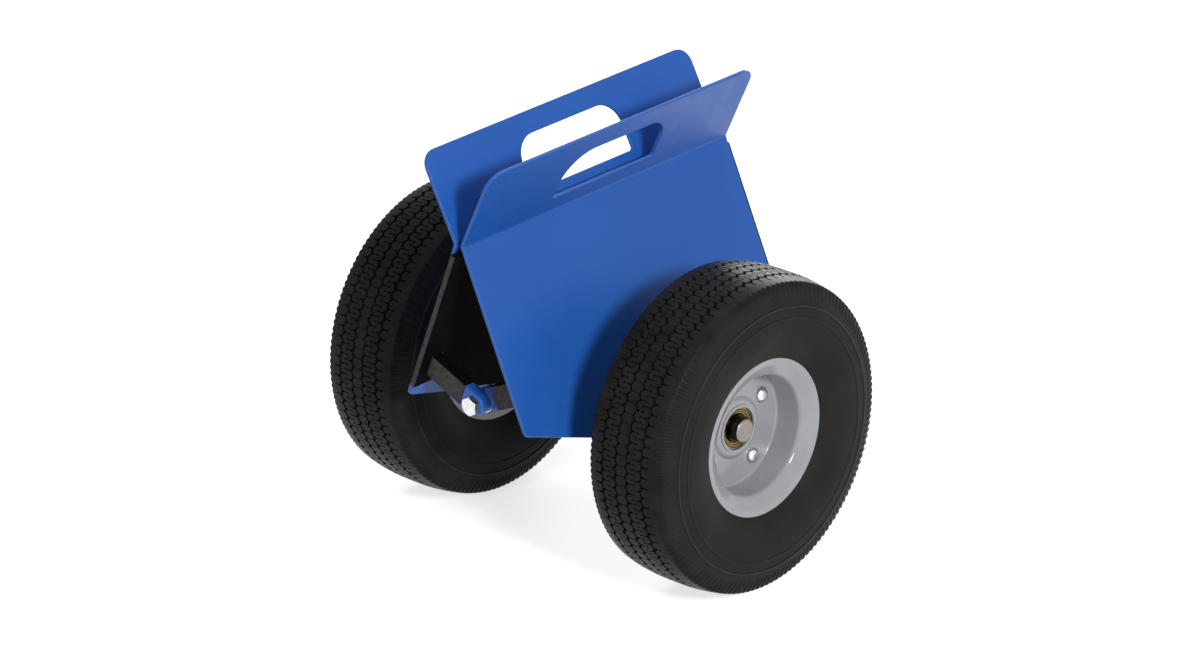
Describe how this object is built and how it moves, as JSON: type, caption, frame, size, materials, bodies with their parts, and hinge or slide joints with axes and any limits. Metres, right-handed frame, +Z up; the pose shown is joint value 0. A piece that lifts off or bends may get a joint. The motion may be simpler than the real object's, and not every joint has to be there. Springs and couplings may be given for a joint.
{
  "type": "plate dolly",
  "caption": "Self-clamping plate dolly: hinged blue steel jaw plates with rubber pads and hand holes, carried on foam-filled tyres on pressed-steel wheels.",
  "frame": {"origin": "middle of the dolly on the floor, under the hinge line", "axes": "+X along the axles towards the right wheel, +Y along the rolling direction, +Z up"},
  "size_m": [0.3788, 0.311, 0.3634],
  "materials": {
    "blue_paint": "powder coated",
    "grey_paint": "semi-gloss paint",
    "tyre_rubber": "moulded",
    "black_rubber": "matt",
    "zinc_steel": "bright zinc plated",
    "yellow_zinc": "yellow zinc plated",
    "axle_steel": "black oxide, bare at the cut end"
  },
  "bodies": {
    "left_half": {"left_jaw_plate": "blue_paint", "left_jaw_pad": "black_rubber", "left_front_arm": "blue_paint", "left_rear_arm": "blue_paint", "left_front_sleeve": "black_rubber", "left_rear_sleeve": "black_rubber", "left_stub_axle": "axle_steel", "left_axle_collar": "blue_paint", "left_inner_washer": "zinc_steel", "left_retaining_ring": "yellow_zinc", "front_hinge_bolt": "zinc_steel", "front_hinge_nut": "zinc_steel", "front_hinge_washers": "zinc_steel", "rear_hinge_bolt": "zinc_steel", "rear_hinge_nut": "zinc_steel", "rear_hinge_washers": "zinc_steel"},
    "right_half": {"right_jaw_plate": "blue_paint", "right_jaw_pad": "black_rubber", "right_front_arm": "blue_paint", "right_rear_arm": "blue_paint", "right_front_sleeve": "black_rubber", "right_rear_sleeve": "black_rubber", "right_stub_axle": "axle_steel", "right_axle_collar": "blue_paint", "right_inner_washer": "zinc_steel", "right_retaining_ring": "yellow_zinc"},
    "left_wheel": {"left_tyre": "tyre_rubber", "left_rim_outer_half": "grey_paint", "left_rim_inner_half": "grey_paint", "left_rim_bolts": "zinc_steel", "left_rim_nuts": "zinc_steel", "left_hub_tube": "grey_paint", "left_bearing_outer_races": "yellow_zinc", "left_bearing_inner_races": "yellow_zinc", "left_bearing_balls": "zinc_steel"},
    "right_wheel": {"right_tyre": "tyre_rubber", "right_rim_outer_half": "grey_paint", "right_rim_inner_half": "grey_paint", "right_rim_bolts": "zinc_steel", "right_rim_nuts": "zinc_steel", "right_hub_tube": "grey_paint", "right_bearing_outer_races": "yellow_zinc", "right_bearing_inner_races": "yellow_zinc", "right_bearing_balls": "zinc_steel"}
  },
  "joints": [
    {"name": "jaw_open", "type": "hinge", "parent": "left_half", "child": "right_half", "pos_m": [0, 0, 0.1571], "axis": [0, 1, 0], "range_deg": [0, 46]},
    {"name": "left_wheel_spin", "type": "hinge", "parent": "left_half", "child": "left_wheel", "pos_m": [-0.1453, 0, 0.13018], "axis": [1, 0, 0], "continuous": true},
    {"name": "right_wheel_spin", "type": "hinge", "parent": "right_half", "child": "right_wheel", "pos_m": [0.1453, 0, 0.13018], "axis": [1, 0, 0], "continuous": true}
  ]
}
